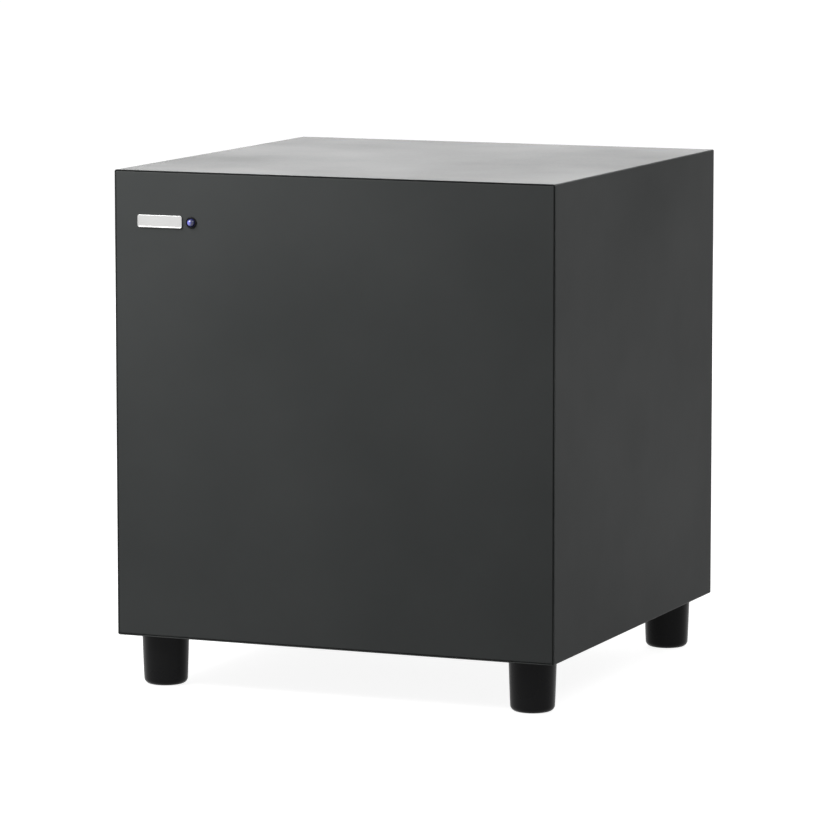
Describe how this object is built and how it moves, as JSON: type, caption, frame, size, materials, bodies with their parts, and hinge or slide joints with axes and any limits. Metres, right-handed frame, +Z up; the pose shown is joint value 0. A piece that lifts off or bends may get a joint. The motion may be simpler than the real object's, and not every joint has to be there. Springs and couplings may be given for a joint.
{
  "type": "subwoofer",
  "caption": "Compact powered subwoofer: a wrapped cube cabinet on round feet with a down-firing driver, a rear port and a plate amplifier.",
  "frame": {"origin": "on the floor, under the middle of the whole object's box", "axes": "+Z up; +Y towards the back panel, so the front with the badge faces -Y; +X to the right as seen from the front"},
  "size_m": [0.28, 0.2982, 0.3115],
  "materials": {
    "vinyl_wrap": "satin-matte vinyl film with a fine grain over fibreboard",
    "wadding": "loose polyester fibre",
    "badge": "satin, blank",
    "lamp_lens": "clear tinted lens",
    "black_plastic": "semi-gloss moulded",
    "red_plastic": "semi-gloss moulded",
    "zinc_screw": "zinc plated",
    "black_screw": "black oxide",
    "basket_paint": "black powder coat",
    "foam": "soft matte foam",
    "rubber": "matte",
    "cone_paper": "coated pressed pulp",
    "former_card": "glazed",
    "copper_wire": "bright",
    "spider_cloth": "resin-dipped weave",
    "plated_steel": "zinc plated",
    "ferrite": "sintered",
    "brown_board": "laminate",
    "port_card": "black-dyed",
    "plate_paint": "fine-texture powder coat",
    "circuit_board": "lacquered",
    "heatsink_metal": "extruded",
    "component_black": "moulded",
    "winding_tape": "polyester tape",
    "control_metal": "nickel plated",
    "socket_metal": "nickel plated",
    "lead_cover": "smooth insulation"
  },
  "bodies": {
    "cabinet": {"top_panel": "vinyl_wrap", "left_panel": "vinyl_wrap", "right_panel": "vinyl_wrap", "bottom_panel": "vinyl_wrap", "front_panel": "vinyl_wrap", "rear_panel": "vinyl_wrap", "wadding": "wadding", "badge_plate": "badge", "lamp_bezel": "black_plastic", "status_lamp": "lamp_lens", "front_left_foot": "black_plastic", "front_right_foot": "black_plastic", "rear_left_foot": "black_plastic", "rear_right_foot": "black_plastic", "foot_screws": "zinc_screw", "basket": "basket_paint", "trim_ring": "foam", "surround": "rubber", "spider": "spider_cloth", "front_plate": "plated_steel", "magnet": "ferrite", "yoke": "plated_steel", "terminal_strip": "brown_board", "tinsel_leads": "copper_wire", "driver_screws": "black_screw", "port_flare": "black_plastic", "port_tube": "port_card", "amp_plate": "plate_paint", "amp_gasket": "foam", "amp_screws": "black_screw", "main_board": "circuit_board", "heatsink": "heatsink_metal", "power_transistors": "component_black", "filter_capacitors": "component_black", "transformer": "winding_tape", "transformer_bolt": "zinc_screw", "volume_control": "control_metal", "crossover_control": "control_metal", "phase_switch": "component_black", "mode_switch": "component_black", "mains_switch": "black_plastic", "line_sockets": "socket_metal", "speaker_terminals": "black_plastic", "mains_inlet": "black_plastic", "speaker_leads": "lead_cover", "lamp_lead": "lead_cover", "power_leads": "lead_cover"},
    "cone_assembly": {"cone": "cone_paper", "dust_cap": "cone_paper", "coil_former": "former_card", "voice_coil": "copper_wire"},
    "volume_knob": {"volume_knob": "black_plastic"},
    "crossover_knob": {"crossover_knob": "black_plastic"},
    "phase_slider": {"phase_slider": "black_plastic"},
    "mode_slider": {"mode_slider": "black_plastic"},
    "mains_rocker": {"mains_rocker": "black_plastic"},
    "speaker_lever_1": {"speaker_lever_1": "red_plastic"},
    "speaker_lever_2": {"speaker_lever_2": "black_plastic"},
    "speaker_lever_3": {"speaker_lever_3": "red_plastic"},
    "speaker_lever_4": {"speaker_lever_4": "black_plastic"}
  },
  "joints": [
    {"name": "cone_excursion", "type": "slide", "parent": "cabinet", "child": "cone_assembly", "axis": [0, 0, 1], "range_m": [-0.006, 0.006], "stiffness_N_per_m": 2500, "deforming": ["surround", "spider", "tinsel_leads"]},
    {"name": "volume_turn", "type": "hinge", "parent": "cabinet", "child": "volume_knob", "pos_m": [-0.074, 0.1345, 0.2535], "axis": [0, 1, 0], "range_deg": [-150, 150]},
    {"name": "crossover_turn", "type": "hinge", "parent": "cabinet", "child": "crossover_knob", "pos_m": [-0.014, 0.1345, 0.2535], "axis": [0, 1, 0], "range_deg": [-150, 150]},
    {"name": "phase_slide", "type": "slide", "parent": "cabinet", "child": "phase_slider", "axis": [1, 0, 0], "range_m": [0, 0.004]},
    {"name": "mode_slide", "type": "slide", "parent": "cabinet", "child": "mode_slider", "axis": [1, 0, 0], "range_m": [0, 0.004]},
    {"name": "mains_rocker_tilt", "type": "hinge", "parent": "cabinet", "child": "mains_rocker", "pos_m": [-0.018, 0.1355, 0.0855], "axis": [1, 0, 0], "range_deg": [0, 20]},
    {"name": "speaker_lever_1_press", "type": "hinge", "parent": "cabinet", "child": "speaker_lever_1", "pos_m": [-0.0438, 0.135, 0.2055], "axis": [-1, 0, 0], "range_deg": [0, 18], "stiffness_Nm_per_rad": 0.05, "springref_deg": -5.73},
    {"name": "speaker_lever_2_press", "type": "hinge", "parent": "cabinet", "child": "speaker_lever_2", "pos_m": [-0.0306, 0.135, 0.2055], "axis": [-1, 0, 0], "range_deg": [0, 18], "stiffness_Nm_per_rad": 0.05, "springref_deg": -5.73},
    {"name": "speaker_lever_3_press", "type": "hinge", "parent": "cabinet", "child": "speaker_lever_3", "pos_m": [-0.0174, 0.135, 0.2055], "axis": [-1, 0, 0], "range_deg": [0, 18], "stiffness_Nm_per_rad": 0.05, "springref_deg": -5.73},
    {"name": "speaker_lever_4_press", "type": "hinge", "parent": "cabinet", "child": "speaker_lever_4", "pos_m": [-0.0042, 0.135, 0.2055], "axis": [-1, 0, 0], "range_deg": [0, 18], "stiffness_Nm_per_rad": 0.05, "springref_deg": -5.73}
  ]
}
